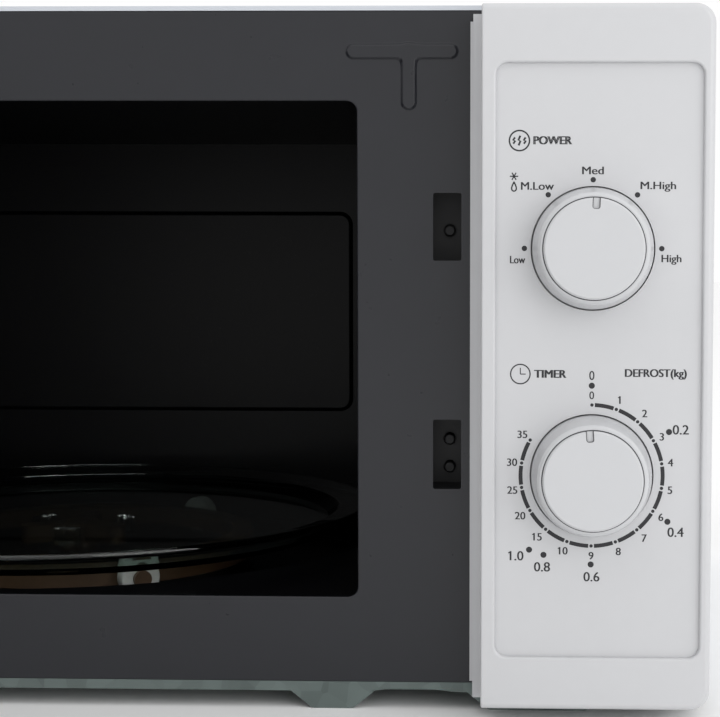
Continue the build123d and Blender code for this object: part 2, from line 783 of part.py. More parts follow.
def make_fan_blade():
    blades = 5
    with BuildPart() as fan_blade:
        rod((fan_x, fan_z), 11.0, (104, 116))
        for blade in range(blades):
            turn = Plane(
                origin=(fan_x, 110, fan_z),
                x_dir=(0, 1, 0),
                z_dir=(cos(radians(72 * blade)), 0, sin(radians(72 * blade))),
            )
            with BuildSketch(turn.offset(9)):
                Rectangle(11, 1.4, rotation=35)
            with BuildSketch(turn.offset(44)):
                Rectangle(11, 1.2, rotation=18)
                scale(by=(1, 1.6, 1))
            loft()
        rod((fan_x, fan_z), 2.0, (104, 134))
    keep(fan_blade, "fan_blade")


def make_air_duct():
    wall = 1.5
    z = (128.0, 202.0)
    inside_z = (z[0] + wall, z[1] - wall)
    with BuildPart() as air_duct:
        block((131.5, 198), (-84, 9.5), z)
        block((96, 131.5), (-84, -41), z)
        block((133, 198 - wall), (-84 + wall, 9.5), inside_z, Mode.SUBTRACT)
        block((96, 134), (-84 + wall, -41 - wall), inside_z, Mode.SUBTRACT)
    keep(air_duct, "air_duct")


def make_lamp():
    with BuildPart() as lamp:
        with BuildSketch(Plane.YZ.offset(104)):
            with Locations((-100, 202)):
                Circle(8)
        extrude(amount=16)
        fillet(lamp.edges().group_by(Axis.X)[0], 7)
    keep(lamp, "lamp")


def make_lamp_holder():
    with BuildPart() as lamp_holder:
        block((120, 136), (-111, -89), (190, 214))
        block((cavity_x[1] + sheet + 0.1, 136), (-89, -87), (190, 214))
        block((cavity_x[1] + sheet + 0.1, 97), (-87, -85.5), (190, 201))
        fillet(lamp_holder.edges().filter_by(Axis.Z).group_by(Axis.X)[-1], 1.5)
    keep(lamp_holder, "lamp_holder")


def make_filter_board():
    with BuildPart() as filter_board:
        block((104, 164), (100, 150), (224, 225.6))
        post((120, 125), 9, (225.6, 240))
        block((138, 158), (108, 122), (225.6, 240))
        block((138, 158), (132, 144), (225.6, 236))
        for x in (108, 160):
            post((x, 147), 2.5, (217, 224))
    keep(filter_board, "filter_board")


def make_fuse():
    with BuildPart() as fuse:
        with BuildSketch(Plane.YZ.offset(108)):
            with Locations((108, 230)):
                Circle(3)
        extrude(amount=24)
    keep(fuse, "fuse")


def make_thermal_cutouts():
    with BuildPart() as thermal_cutouts:
        for centre, bottom in (((-60.0, 60.0), opening_z[1] + sheet), ((163.0, 45.0), 205.0)):
            post(centre, 8, (bottom, bottom + 7))
            with BuildSketch(Plane.XY.offset(bottom)) as ears:
                with Locations(centre):
                    SlotOverall(30, 9)
            extrude(ears.sketch, amount=0.8)
    keep(thermal_cutouts, "thermal_cutouts")


# Door


def make_door_shell():
    wall = 2.5
    inside_x = (door_x[0] + wall, 132.0)
    inside_z = (door_z[0] + wall, door_z[1] - wall)
    pivot = (hinge_x, hinge_y)
    with BuildPart() as door_shell:
        pane(door_x, door_z, (panel_front, -168.0), 6.0)
        fillet(door_shell.faces().sort_by(Axis.Y)[0].edges(), 2.2)
        pane((door_x[0], 134.4), door_z, (-168.0, door_back), 6.0)
        pane(inside_x, inside_z, (panel_front + wall, door_back), 3.0, Mode.SUBTRACT)
        pane(window_x, window_z, (panel_front, panel_front + wall), 8.0, Mode.SUBTRACT)
        rim = (panel_front + wall, panel_front + wall + 3)
        pane((window_x[0] - 6, window_x[1] + 6), (window_z[0] - 6, window_z[1] + 6), rim, 9.0)
        pane((window_x[0] - 4, window_x[1] + 4), (window_z[0] - 4, window_z[1] + 4), rim, 8.0, Mode.SUBTRACT)
        for boss in ((229.0, upper_ear_z - 0.4), (lower_ear_z + ear_thickness + 0.4, 32.0)):
            post(pivot, 7.0, boss)
            block((door_x[0] + wall, hinge_x), (hinge_y - 1, hinge_y + 1), boss)
            post(pivot, hinge_pin_radius + running_gap, boss, Mode.SUBTRACT)
        for ear_z in (upper_ear_z, lower_ear_z):
            slot = (ear_z - 0.4, ear_z + ear_thickness + 0.4)
            block((door_x[0] - 1, hinge_x + 8), (hinge_y - 8, door_back + 1), slot, Mode.SUBTRACT)
        block((122.5, 132.5), (-174.5, -164), (232, 235))
    keep(door_shell, "door_shell", on_door=True)


def make_door_window():
    with BuildPart() as door_window:
        edge = 3.9
        x = (window_x[0] - edge, window_x[1] + edge)
        z = (window_z[0] - edge, window_z[1] + edge)
        pane(x, z, (panel_front + 2.6, panel_front + 5.4), 7.9)
    keep(door_window, "door_window", on_door=True)


def make_door_handle():
    grip_x = (106.0, 122.0)
    grip_z = (58.0, 204.0)
    grip_y = (panel_front - 32.0, panel_front - 22.0)
    with BuildPart() as door_handle:
        pane(grip_x, grip_z, grip_y, 7.9)
        fillet(door_handle.faces().sort_by(Axis.Y)[0].edges(), 3.5)
        for post_z in ((grip_z[0], grip_z[0] + 18), (grip_z[1] - 18, grip_z[1])):
            pane(grip_x, post_z, (grip_y[1], panel_front), 7.5)
    keep(door_handle, "door_handle", on_door=True)


def make_door_frame():
    """Pressed steel pan: a flat sheet over the opening and an open choke channel round it."""
    face = (-161.2, -160.4)
    bottom = (-176.0, -175.2)
    channel = 16.0
    inner_x = (pan_x[0] + 6.0, pan_x[1] - channel)
    inner_z = (pan_z[0] + channel, pan_z[1] - channel)
    with BuildPart() as door_frame:
        pane(pan_x, pan_z, (bottom[0], -162.4), 4.0)
        pane((pan_x[0] + sheet, pan_x[1] - sheet), (pan_z[0] + sheet, pan_z[1] - sheet),
             (bottom[1], -162.4), 3.2, Mode.SUBTRACT)
        pane(inner_x, inner_z, (bottom[0], face[1]), 3.0)
        pane((inner_x[0] + sheet, inner_x[1] - sheet), (inner_z[0] + sheet, inner_z[1] - sheet),
             (bottom[0], face[0]), 2.2, Mode.SUBTRACT)
    keep(door_frame, "door_frame", on_door=True)


def make_choke_cover():
    """Plastic ring that closes the choke channel, on a low step."""
    channel = 16.0
    inner_x = (pan_x[0] + 5.7, pan_x[1] - channel + 0.3)
    inner_z = (pan_z[0] + channel - 0.3, pan_z[1] - channel + 0.3)
    with BuildPart() as choke_cover:
        pane((pan_x[0] - 1, pan_x[1] + 1), (pan_z[0] - 1, pan_z[1] + 1), (-162.2, -160.6), 5.0)
        pane(inner_x, inner_z, (-162.2, -160.6), 3.0, Mode.SUBTRACT)
    keep(choke_cover, "choke_cover", on_door=True)


def make_door_inner_film():
    margin = 5.0
    with BuildPart() as door_inner_film:
        x = (window_x[0] - margin, window_x[1] + margin)
        z = (window_z[0] - margin, window_z[1] + margin)
        pane(x, z, (-160.4, -160.0), 4.0)
    keep(door_inner_film, "door_inner_film", on_door=True)


def make_latch_hooks():
    """Two hooks on one upright strip, which slides a little against its spring."""
    strip_y = (-174.0, -167.0)
    with BuildPart() as latch_hooks:
        block((123.3, 129.8), strip_y, (78, 212))
        for low, high in ((168.6, 187.0), (84.0, 103.0)):
            with BuildSketch(Plane.YZ.offset(hook_x[0])):
                with BuildLine():
                    Polyline(
                        (strip_y[1] - 1, low + 4),
                        (hook_tip - 9, low + 4),
                        (hook_tip - 7, low),
                        (hook_tip - 2, low),
                        (hook_tip, low + 3),
                        (hook_tip, high),
                        (hook_tip - 10, high),
                        (strip_y[1] - 1, high),
                        close=True,
                    )
                make_face()
            extrude(amount=width(hook_x))
    keep(latch_hooks, "latch_hooks", on_door=True)


def make_latch_spring():
    """Open coil between the strip and the stop inside the shell."""
    wire = 0.45
    with BuildPart() as latch_spring:
        with BuildLine():
            coil = Helix(pitch=3.2, height=19.0, radius=2.4, center=(126.5, -170.5, 212.5))
        with BuildSketch(Plane(origin=coil @ 0, z_dir=coil % 0)):
            Circle(wire)
        sweep(is_frenet=True)
    keep(latch_spring, "latch_spring", on_door=True)


def make_hinge(name, ear_z, pin_z):
    """Bracket behind the front plate, its ear through the plate, and the pin on the ear."""
    ear = (ear_z, ear_z + ear_thickness)
    with BuildPart() as hinge:
        block((hinge_x - 6, hinge_x + 6), (hinge_y, plate_back + 0.1), ear)
        post((hinge_x, hinge_y), 6.0, ear)
        post((hinge_x, hinge_y), hinge_pin_radius, pin_z)
        tail = (-60.0, 0.0) if ear_z > 100 else (0.0, 60.0)
        reach = (ear[0] + tail[0], ear[1] + tail[1])
        block((hinge_x - 6, hinge_x + 6), (plate_back + 0.1, plate_back + 1.7), reach)
    keep(hinge, name)


os.makedirs("parts", exist_ok=True)

make_front_plate()
make_cavity_wrap()
make_cavity_back()
make_cavity_floor()
make_base_plate()
make_outer_cabinet()
make_rear_plate()
make_cabinet_screws()
make_cord_gland()

make_control_panel()
make_knob("power_knob", power_z, 2.3)
make_knob("timer_knob", timer_z, -4.0)
make_spindle("power_spindle", power_z)
make_spindle("timer_spindle", timer_z)
make_timer_unit()
make_power_selector()

make_turntable_glass()
make_turntable_coupler()
make_motor_shaft()
make_turntable_motor()
make_motor_cover()
make_roller_ring()
for number, angle in enumerate(roller_angles, 1):
    make_roller_wheel(number, angle)

make_latch_board()
for name, height in plunger_heights.items():
    make_switch(name, height)
    make_plunger(name, height)

make_waveguide()
make_waveguide_cover()
make_magnetron_body()
make_magnetron_antenna()
make_transformer_core()
make_transformer_windings()
make_capacitor()
make_capacitor_clamp()
make_high_voltage_diode()
make_fan_shroud()
make_fan_motor()
make_fan_blade()
make_air_duct()
make_lamp()
make_lamp_holder()
make_filter_board()
make_fuse()
make_thermal_cutouts()

make_door_shell()
make_door_window()
make_door_handle()
make_door_frame()
make_choke_cover()
make_door_inner_film()
make_latch_hooks()
make_latch_spring()
make_hinge("upper_hinge", upper_ear_z, (230.0, upper_ear_z))
make_hinge("lower_hinge", lower_ear_z, (lower_ear_z + ear_thickness, 31.0))
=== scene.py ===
from math import cos, pi, radians, sin

import bmesh
import bpy
import numpy as np
from bpy.props import FloatProperty, FloatVectorProperty, PointerProperty
from mathutils import Matrix, Vector


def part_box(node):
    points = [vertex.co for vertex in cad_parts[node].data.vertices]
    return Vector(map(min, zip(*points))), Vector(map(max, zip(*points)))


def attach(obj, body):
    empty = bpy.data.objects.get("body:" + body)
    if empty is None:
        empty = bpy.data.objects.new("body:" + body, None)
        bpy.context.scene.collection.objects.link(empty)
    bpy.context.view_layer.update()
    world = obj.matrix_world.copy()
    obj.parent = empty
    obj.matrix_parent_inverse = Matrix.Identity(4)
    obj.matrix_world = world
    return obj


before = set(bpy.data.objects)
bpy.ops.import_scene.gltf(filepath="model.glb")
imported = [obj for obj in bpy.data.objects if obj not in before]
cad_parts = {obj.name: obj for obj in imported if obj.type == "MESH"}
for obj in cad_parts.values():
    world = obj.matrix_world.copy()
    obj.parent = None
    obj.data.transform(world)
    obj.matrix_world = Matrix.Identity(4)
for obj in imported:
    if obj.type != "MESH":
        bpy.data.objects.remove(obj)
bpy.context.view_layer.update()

bl_info = {
    "name": "Countertop microwave oven",
    "version": (1, 0, 0),
    "blender": (4, 5, 0),
    "location": "View3D > Sidebar > Oven",
    "description": "Finishes, printed scales and small formed details of a microwave oven",
    "category": "Object",
}

MM = 0.001


def knob_centre(node):
    """Middle of a knob seen from the front, as an X and a Z."""
    low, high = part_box(node)
    return (low.x + high.x) / 2, (low.z + high.z) / 2


POWER_CENTRE = knob_centre("power_knob")
TIMER_CENTRE = knob_centre("timer_knob")

# The ink lies on the floor of the panel's recess, with its root a little inside it
RECESS_DEPTH = 2.0 * MM
RECESS_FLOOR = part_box("control_panel")[0].y + RECESS_DEPTH
INK_ROOT = 0.01 * MM

# The front plate's face stands a step in front of the cavity's edge
PLATE_STEP = 0.8 * MM
PLATE_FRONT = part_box("cavity_wrap")[0].y - PLATE_STEP

# Middle lines of the bead's T: the ends and the height of its bar, the place and lower end of its stem
BEAD_DROP = 14.4 * MM
BEAD_BAR = (92.6 * MM, 127.6 * MM)
BEAD_BAR_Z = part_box("front_plate")[1].z - BEAD_DROP
BEAD_STEM_X = 112.6 * MM
BEAD_STEM_END = 223.3 * MM

# How far each knob's pointer is turned, in degrees clockwise from the top
POWER_TURN = 2.3
TIMER_TURN = -4.0

# The timer's ring of arcs, in degrees: where it ends, the step from dot to dot, the gap beside a dot
RING_END = 300
RING_STEP = 20
RING_GAP = 2.3

# Radii of the printed dots
POWER_DOT = 0.95 * MM
RING_DOT = 0.6 * MM
WEIGHT_DOT = 1.08 * MM

# Stage in metres: half the floor's width, the lights' aim, and each light's place and size
FLOOR_REACH = 6.0
LIGHT_AIM = Vector((0.12, -0.16, 0.13))
KEY_PLACE, KEY_SIZE = (0.95, -1.25, 0.45), 1.1
TOP_PLACE, TOP_SIZE = (0.1, -0.5, 1.5), 1.6

# Camera: place in metres, turn in radians, shift in parts of the frame's width
CAMERA_PLACE = (0.1577, -0.79174, 0.1749)
CAMERA_YAW, CAMERA_PITCH, CAMERA_ROLL = -0.0302, 0.0647, 0.0021
CAMERA_SHIFT = (-0.1667, -0.0135)
SENSOR_WIDTH = 36.0

# Printed dots and labels, in millimetres from the knob's centre. A label is its text, X, Z, height,
# width and bold, and a figure is its text, X and Z.
POWER_DOTS = ((-23.95, 0), (-15.7, 18.7), (-0.05, 23.95), (15.4, 18.7), (24.0, 0))
POWER_LABELS = (
    ("POWER", -14.2, 37.6, 2.85, 13.1, 0.22), ("Med", -0.15, 27.15, 2.7, 7.4, 0.1),
    ("M.Low", -19.45, 21.75, 2.7, 11.4, 0.1), ("M.High", 22.6, 21.55, 3.45, 12.2, 0.1),
    ("Low", -26.3, -3.95, 2.65, 5.2, 0.1), ("High", 27.4, -3.85, 3.45, 6.8, 0.1),
)
TIMER_LABELS = (
    ("TIMER", -14.7, 35.9, 2.75, 11.0, 0.2), ("DEFROST(kg)", 22.3, 35.9, 3.65, 21.4, 0.16),
    ("0", -0.1, 35.4, 3.2, 1.75, 0.05), ("0", -0.1, 28.4, 2.75, 1.6, 0.05),
)
MINUTES = (
    ("1", 9.8, 26.8), ("2", 18.5, 22.1), ("3", 24.6, 13.9), ("4", 27.7, 4.8), ("5", 27.6, -5.0),
    ("6", 24.5, -14.6), ("7", 18.7, -22.1), ("8", 9.6, -26.9), ("9", 0.0, -28.5), ("10", -9.8, -26.8),
    ("15", -18.9, -21.9), ("20", -25.1, -14.4), ("25", -27.9, -5.3), ("30", -28.0, 4.6),
    ("35", -24.4, 14.5),
)
WEIGHTS = (("0.2", 31.2, 16.4), ("0.4", 29.7, -19.9), ("0.6", 0.2, -36.0), ("0.8", -17.3, -32.6),
           ("1.0", -26.3, -28.7))
MINUTE_HEIGHT, WEIGHT_HEIGHT, FIGURE_BOLD = 2.68, 3.35, 0.09
WEIGHT_DOTS = ((-0.1, 31.8), (27.1, 15.6), (26.8, -16.2), (-0.1, -31.6), (-16.8, -28.3), (-21.9, -26.5))


class OvenColours(bpy.types.PropertyGroup):
    """Main colours of the oven."""

    front_enamel: FloatVectorProperty(
        name="Front enamel", description="Charcoal coat of the front plate",
        default=(0.0135, 0.0142, 0.0180), min=0, max=1, subtype="COLOR")
    cavity_enamel: FloatVectorProperty(
        name="Cavity enamel", description="Near black coat inside the cavity",
        default=(0.0018, 0.0018, 0.0024), min=0, max=1, subtype="COLOR")
    panel: FloatVectorProperty(
        name="Panel", description="Moulded control panel",
        default=(0.535, 0.538, 0.552), min=0, max=1, subtype="COLOR")
    knob: FloatVectorProperty(
        name="Knobs", description="Moulded knobs",
        default=(0.525, 0.53, 0.545), min=0, max=1, subtype="COLOR")
    cabinet: FloatVectorProperty(
        name="Cabinet", description="Painted top and sides",
        default=(0.54, 0.57, 0.615), min=0, max=1, subtype="COLOR")
    base: FloatVectorProperty(
        name="Base sheet", description="Galvanised base and rear sheet",
        default=(0.135, 0.165, 0.158), min=0, max=1, subtype="COLOR")
    glass: FloatVectorProperty(
        name="Turntable glass", description="Tint of the turntable",
        default=(0.82, 0.93, 0.89), min=0, max=1, subtype="COLOR")
    ink: FloatVectorProperty(
        name="Ink", description="Printed scales and labels",
        default=(0.012, 0.012, 0.015), min=0, max=1, subtype="COLOR")


class OvenSizes(bpy.types.PropertyGroup):
    """Sizes of the small formed and printed details."""

    bead_width: FloatProperty(
        name="Bead width", description="Full width of the stiffening bead",
        default=6.4 * MM, min=4 * MM, max=20 * MM, unit="LENGTH", subtype="DISTANCE")
    bead_flank: FloatProperty(
        name="Bead flank", description="Width of the bead's rounded flank",
        default=1.3 * MM, min=0.5 * MM, max=2 * MM, unit="LENGTH", subtype="DISTANCE")
    bead_height: FloatProperty(
        name="Bead height", description="How far the bead stands out of the front plate",
        default=1.0 * MM, min=0.7 * MM, max=3 * MM, unit="LENGTH", subtype="DISTANCE")
    ink_height: FloatProperty(
        name="Ink height", description="Thickness of the printed ink",
        default=0.03 * MM, min=0.005 * MM, max=0.2 * MM, unit="LENGTH", subtype="DISTANCE")
    scale_radius: FloatProperty(
        name="Timer scale radius", description="Radius of the timer's ring of arcs",
        default=25.0 * MM, min=22 * MM, max=30 * MM, unit="LENGTH", subtype="DISTANCE")
    scale_line: FloatProperty(
        name="Timer scale line", description="Width of the timer's arcs",
        default=1.4 * MM, min=0.3 * MM, max=3 * MM, unit="LENGTH", subtype="DISTANCE")


class OvenStage(bpy.types.PropertyGroup):
    """Floor, light and camera."""

    floor: FloatVectorProperty(
        name="Floor", description="Plain pale floor",
        default=(0.95, 0.95, 0.95), min=0, max=1, subtype="COLOR")
    key_power: FloatProperty(
        name="Key light", description="Large soft light at the front right",
        default=6.0, min=0, max=500, unit="POWER")
    top_power: FloatProperty(
        name="Top light", description="Wide soft light overhead",
        default=3.0, min=0, max=500, unit="POWER")
    room: FloatProperty(
        name="Room light", description="Even light from all round",
        default=1.0, min=0, max=5)
    lens: FloatProperty(
        name="Lens", description="Focal length of the camera",
        default=86.84, min=20, max=200, unit="CAMERA")


# Mesh making


def add_piece(name, points, faces, material, body, slot, smooth=True):
    """Makes a mesh from point and face arrays, turns its faces outwards and rides it on a body."""
    mesh = bpy.data.meshes.new(name)
    mesh.from_pydata(np.asarray(points, float).reshape(-1, 3).tolist(), [], faces)
    work = bmesh.new()
    work.from_mesh(mesh)
    bmesh.ops.recalc_face_normals(work, faces=work.faces)
    work.to_mesh(mesh)
    work.free()
    mesh.polygons.foreach_set("use_smooth", np.full(len(mesh.polygons), smooth))
    mesh.materials.append(material)
    piece = bpy.data.objects.new(name, mesh)
    bpy.context.scene.collection.objects.link(piece)
    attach(piece, body)
    return piece


def grid_faces(rows, columns, around=False):
    """Quads of a grid of rows by columns; around joins the last column to the first."""
    row = np.arange(rows - 1)[:, None]
    column = np.arange(columns if around else columns - 1)[None, :]
    following = (column + 1) % columns
    corners = (row * columns + column, row * columns + following,
               (row + 1) * columns + following, (row + 1) * columns + column)
    return np.stack([np.broadcast_to(c, corners[0].shape) for c in corners], -1).reshape(-1, 4)


def ribbon(path, line, depth, closed=False):
    """Flat strip along a path in the X-Z plane.

    Each path point p with unit normal n gives four corners, p + n*line/2 and p - n*line/2 at both
    depths. Consecutive fours are joined by quads, and an open strip has a quad at each end.
    """
    path = np.asarray(path, float)
    if closed:
        along = np.roll(path, -1, 0) - np.roll(path, 1, 0)
    else:
        along = np.gradient(path, axis=0)
    along /= np.linalg.norm(along, axis=1)[:, None]
    side = np.stack([-along[:, 1], along[:, 0]], 1) * line / 2
    left, right = path + side, path - side
    near, far = depth
    corners = [(left, near), (right, near), (right, far), (left, far)]
    points = np.stack([np.stack([c[:, 0], np.full(len(c), y), c[:, 1]], 1) for c, y in corners], 1)
    count = len(path)
    faces = grid_faces(count, 4, around=True).tolist()
    if closed:
        last = (count - 1) * 4
        faces += [[last + k, last + (k + 1) % 4, (k + 1) % 4, k] for k in range(4)]
    else:
        faces += [[0, 1, 2, 3], [count * 4 - 1, count * 4 - 2, count * 4 - 3, count * 4 - 4]]
    return points.reshape(-1, 3), faces


def arc(centre, radius, start, end, steps=24):
    """Points at radius from a centre, from start to end degrees, clockwise from the top."""
    angle = np.radians(np.linspace(start, end, steps))
    return np.stack([centre[0] + radius * np.sin(angle), centre[1] + radius * np.cos(angle)], 1)


def circle(centre, radius, steps=48):
    """Points all round a circle, the first not repeated."""
    return arc(centre, radius, 0, 360 - 360 / steps, steps)


def disc(centre, radius, depth, steps=32):
    """Round dot: a ring of points at each depth, joined by quads and closed by two flat ends."""
    rim = circle(centre, radius, steps)
    near, far = (np.stack([rim[:, 0], np.full(steps, y), rim[:, 1]], 1) for y in depth)
    faces = grid_faces(2, steps, around=True).tolist()
    faces += [list(range(steps)), list(range(2 * steps - 1, steps - 1, -1))]
    return np.concatenate([near, far]), faces


def lettering(text, centre, depth, height, bold, width=None):
    """Text as a mesh, scaled to a height and, if given, a width, and stood up facing the front.

    The text is struck twice, bold to each side, the second slightly nearer. A leading figure one
    gets a flag, which the built-in lettering lacks.
    """
    curve = bpy.data.curves.new("lettering", "FONT")
    curve.body = text
    curve.extrude = 0.5
    curve.resolution_u = 6
    holder = bpy.data.objects.new("lettering", curve)
    bpy.context.scene.collection.objects.link(holder)
    bpy.context.view_layer.update()
    mesh = bpy.data.meshes.new_from_object(holder.evaluated_get(bpy.context.evaluated_depsgraph_get()))
    flat = np.zeros(len(mesh.vertices) * 3)
    mesh.vertices.foreach_get("co", flat)
    flat = flat.reshape(-1, 3)
    faces = [list(face.vertices) for face in mesh.polygons]
    bpy.data.objects.remove(holder)
    bpy.data.curves.remove(curve)
    bpy.data.meshes.remove(mesh)
    low, high = flat.min(0), flat.max(0)
    tall = height / (high[1] - low[1])
    wide = width / (high[0] - low[0]) if width else tall
    middle = (low + high) / 2
    near, far = depth
    across = (flat[:, 0] - middle[0]) * wide
    up = (flat[:, 1] - middle[1]) * tall
    strikes = []
    for shift, lift in ((-bold, 0.0), (bold, 0.2 * (near - far))):
        level = np.where(flat[:, 2] > 0, near + lift, far)
        strikes.append((np.stack([centre[0] + across + shift, level, centre[1] + up], 1), faces))
    if text.startswith("1"):
        # The flag slopes down to the left from near the top, sized in parts of the height
        head = np.array([centre[0] + across.min() + 0.09 * height, centre[1] + height * 0.44])
        flag = [head, head - [0.26 * height, 0.16 * height]]
        strikes.append(ribbon(flag, 0.13 * height, (near + 0.1 * (near - far), far)))
    return gathered(strikes)


def gathered(shapes):
    """Several (points, faces) pairs as one."""
    points, faces, count = [], [], 0
    for some, some_faces in shapes:
        points.append(some)
        faces += [[index + count for index in face] for face in some_faces]
        count += len(some)
    return np.concatenate(points), faces


def printed(centre, x, z):
    """Place on the panel x and z millimetres from a knob's centre."""
    return centre[0] + x * MM, centre[1] + z * MM


def ink_depth(sizes):
    """Front and back of the printed ink."""
    return RECESS_FLOOR - sizes.ink_height, RECESS_FLOOR + INK_ROOT


def waves_badge(depth):
    """Ring round three zigzag strokes, the middle one taller."""
    x, z = -25.8, 37.5
    radius, ring_line, stroke_line = 3.5 * MM, 0.55 * MM, 0.72 * MM
    shapes = [ribbon(circle(printed(POWER_CENTRE, x, z), radius), ring_line, depth, closed=True)]
    for shift, reach in ((-1.85, 1.1), (0.0, 1.7), (1.85, 1.1)):
        stroke = [printed(POWER_CENTRE, x + shift + side, z + rise)
                  for side, rise in ((0.3, reach), (-0.35, 0.15), (0.35, -0.15), (-0.3, -reach))]
        shapes.append(ribbon(stroke, stroke_line, depth))
    return shapes


def snowflake(depth):
    """Three bars through one point, 60 degrees apart."""
    middle = np.array(printed(POWER_CENTRE, -27.65, 25.1))
    arm, line = 1.45, 0.42 * MM
    shapes = []
    for angle in (30, 90, 150):
        reach = np.array([sin(radians(angle)), cos(radians(angle))]) * arm * MM
        shapes.append(ribbon([middle - reach, middle + reach], line, depth))
    return shapes


def water_drop(depth):
    """Outline a*sin(t)*sin(t/2)^1.4 across and b*cos(t) up, for t round a full turn."""
    middle = printed(POWER_CENTRE, -27.65, 21.55)
    half_width, half_height, line = 1.15 * MM, 1.6 * MM, 0.5 * MM
    turn = np.linspace(0, 2 * pi, 40, endpoint=False)
    outline = np.stack([middle[0] + half_width * np.sin(turn) * np.sin(turn / 2) ** 1.4,
                        middle[1] + half_height * np.cos(turn)], 1)
    return [ribbon(outline, line, depth, closed=True)]


def clock_face(depth):
    """Ring with one hand up and one to the right."""
    x, z = -25.2, 35.8
    radius, ring_line, hand_line = 3.42 * MM, 0.45 * MM, 0.34 * MM
    middle = printed(TIMER_CENTRE, x, z)
    tall = [printed(TIMER_CENTRE, x, z + 2.2), middle]
    short = [middle, printed(TIMER_CENTRE, x + 1.9, z)]
    return [ribbon(circle(middle, radius), ring_line, depth, closed=True),
            ribbon(tall, hand_line, depth), ribbon(short, hand_line, depth)]


# Finishes


def shader(name, colour, roughness, pattern=None, shade=0.12, rough_spread=0.06, grain=300.0,
           stretch=(1, 1, 1), bump=0.15, bump_grain=1500.0, bump_depth=0.02 * MM, **sockets):
    """Procedural finish on object coordinates.

    A pattern mixes the colour with a darker one and varies the roughness about its value. A finer
    noise gives the bump. Everything that is even over the surface is set on the shader's sockets.
    """
    material = bpy.data.materials.new(name)
    material.use_nodes = True
    nodes, links = material.node_tree.nodes, material.node_tree.links
    surface = nodes["Principled BSDF"]
    place = nodes.new("ShaderNodeTexCoord")
    mapping = nodes.new("ShaderNodeMapping")
    mapping.inputs["Scale"].default_value = stretch
    links.new(place.outputs["Object"], mapping.inputs["Vector"])
    if pattern == "cells":
        texture = nodes.new("ShaderNodeTexVoronoi")
        value = texture.outputs["Color"]
    elif pattern == "bands":
        texture = nodes.new("ShaderNodeTexWave")
        texture.inputs["Distortion"].default_value = 0.4
        value = texture.outputs["Fac"]
    else:
        texture = nodes.new("ShaderNodeTexNoise")
        texture.inputs["Detail"].default_value = 5.0
        value = texture.outputs["Fac"]
    texture.inputs["Scale"].default_value = grain
    links.new(mapping.outputs["Vector"], texture.inputs["Vector"])
    tone = nodes.new("ShaderNodeMix")
    tone.data_type = "RGBA"
    tone.inputs["A"].default_value = (*[c * (1 - shade) for c in colour], 1)
    tone.inputs["B"].default_value = (*[min(1.0, c * (1 + shade)) for c in colour], 1)
    spread = nodes.new("ShaderNodeMapRange")
    spread.inputs["To Min"].default_value = max(0.0, roughness - rough_spread)
    spread.inputs["To Max"].default_value = min(1.0, roughness + rough_spread)
    links.new(value, tone.inputs["Factor"])
    links.new(value, spread.inputs["Value"])
    links.new(tone.outputs["Result"], surface.inputs["Base Color"])
    links.new(spread.outputs["Result"], surface.inputs["Roughness"])
    fine = nodes.new("ShaderNodeTexNoise")
    fine.inputs["Scale"].default_value = bump_grain
    fine.inputs["Detail"].default_value = 3.0
    relief = nodes.new("ShaderNodeBump")
    relief.inputs["Strength"].default_value = bump
    relief.inputs["Distance"].default_value = bump_depth
    links.new(mapping.outputs["Vector"], fine.inputs["Vector"])
    links.new(fine.outputs["Fac"], relief.inputs["Height"])
    links.new(relief.outputs["Normal"], surface.inputs["Normal"])
    for socket, setting in sockets.items():
        surface.inputs[socket.replace("_", " ")].default_value = setting
    return material


FINISHES = {}


